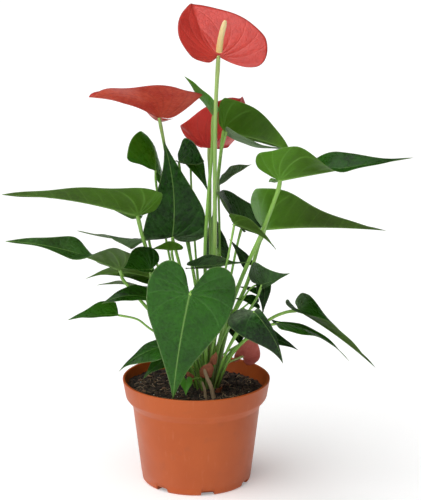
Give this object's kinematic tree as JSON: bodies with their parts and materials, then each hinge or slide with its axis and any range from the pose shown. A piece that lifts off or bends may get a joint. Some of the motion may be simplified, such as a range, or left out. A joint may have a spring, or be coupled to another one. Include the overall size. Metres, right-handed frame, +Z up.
{
  "type": "potted anthurium",
  "caption": "Potted anthurium: heart-shaped leaves on long petioles and red spathes with spadices on tall stems, rooted in soil in a round tapered nursery pot with a rim band",
  "frame": {"origin": "centre of the pot's underside, on the surface the pot stands on", "axes": "+Z up along the pot's axis, front of the plant towards -Y, +X to the right seen from the front"},
  "size_m": [0.4051, 0.181, 0.4924],
  "materials": {
    "pot": "satin terracotta-coloured polypropylene with a faint moulding line",
    "soil": "loose dark potting soil with fibres, bark chips and white grains",
    "leaf": "waxy leaf: dark glossy upper side, paler matt underside, light veins",
    "petiole": "smooth light green stalk",
    "flower_stem": "smooth yellow-green to bronze stalk",
    "spathe": "waxy red spathe with impressed veins, browner underside",
    "old_spathe": "faded pink spathe",
    "spadix": "fine bumps, pale yellow",
    "root": "dull pale aerial root"
  },
  "bodies": {
    "root": {"dark_inner_leaf_blade": "leaf", "dark_inner_leaf_petiole": "petiole", "far_right_leaf_blade": "leaf", "far_right_leaf_petiole": "petiole", "folded_leaf": "leaf", "front_leaf_blade": "leaf", "front_leaf_petiole": "petiole", "glossy_middle_leaf": "leaf", "left_flower_spadix": "spadix", "left_flower_spathe": "spathe", "left_flower_stem": "flower_stem", "long_left_leaf_blade": "leaf", "long_left_leaf_petiole": "petiole", "long_right_leaf_blade": "leaf", "long_right_leaf_petiole": "petiole", "low_left_leaf_blade": "leaf", "low_left_leaf_petiole": "petiole", "low_right_leaf_blade": "leaf", "low_right_leaf_petiole": "petiole", "lower_inner_leaf": "leaf", "lower_narrow_leaf": "leaf", "lower_root": "root", "mid_left_leaf_blade": "leaf", "mid_left_leaf_petiole": "petiole", "narrow_left_leaf": "leaf", "old_flower_spathe": "old_spathe", "old_flower_stem": "flower_stem", "pale_right_leaf_blade": "leaf", "pale_right_leaf_petiole": "petiole", "pot": "pot", "rear_left_leaf": "leaf", "rear_rim_leaf": "leaf", "rear_upright_leaf": "leaf", "right_flower_spadix": "spadix", "right_flower_spathe": "spathe", "right_flower_stem": "flower_stem", "rim_left_leaf": "leaf", "rim_right_leaf_blade": "leaf", "rim_right_leaf_petiole": "petiole", "round_left_leaf": "leaf", "sheltered_leaf": "leaf", "slim_top_leaf_blade": "leaf", "slim_top_leaf_petiole": "petiole", "small_right_leaf_blade": "leaf", "small_right_leaf_petiole": "petiole", "soil": "soil", "spear_leaf": "leaf", "sprout_leaf": "leaf", "top_flower_spadix": "spadix", "top_flower_spathe": "spathe", "top_flower_stem": "flower_stem", "twisted_left_leaf_blade": "leaf", "twisted_left_leaf_petiole": "petiole", "upper_left_leaf": "leaf", "upper_right_leaf_blade": "leaf", "upper_right_leaf_petiole": "petiole", "upper_root": "root", "upright_leaf_blade": "leaf", "upright_leaf_petiole": "petiole"}
  },
  "joints": []
}
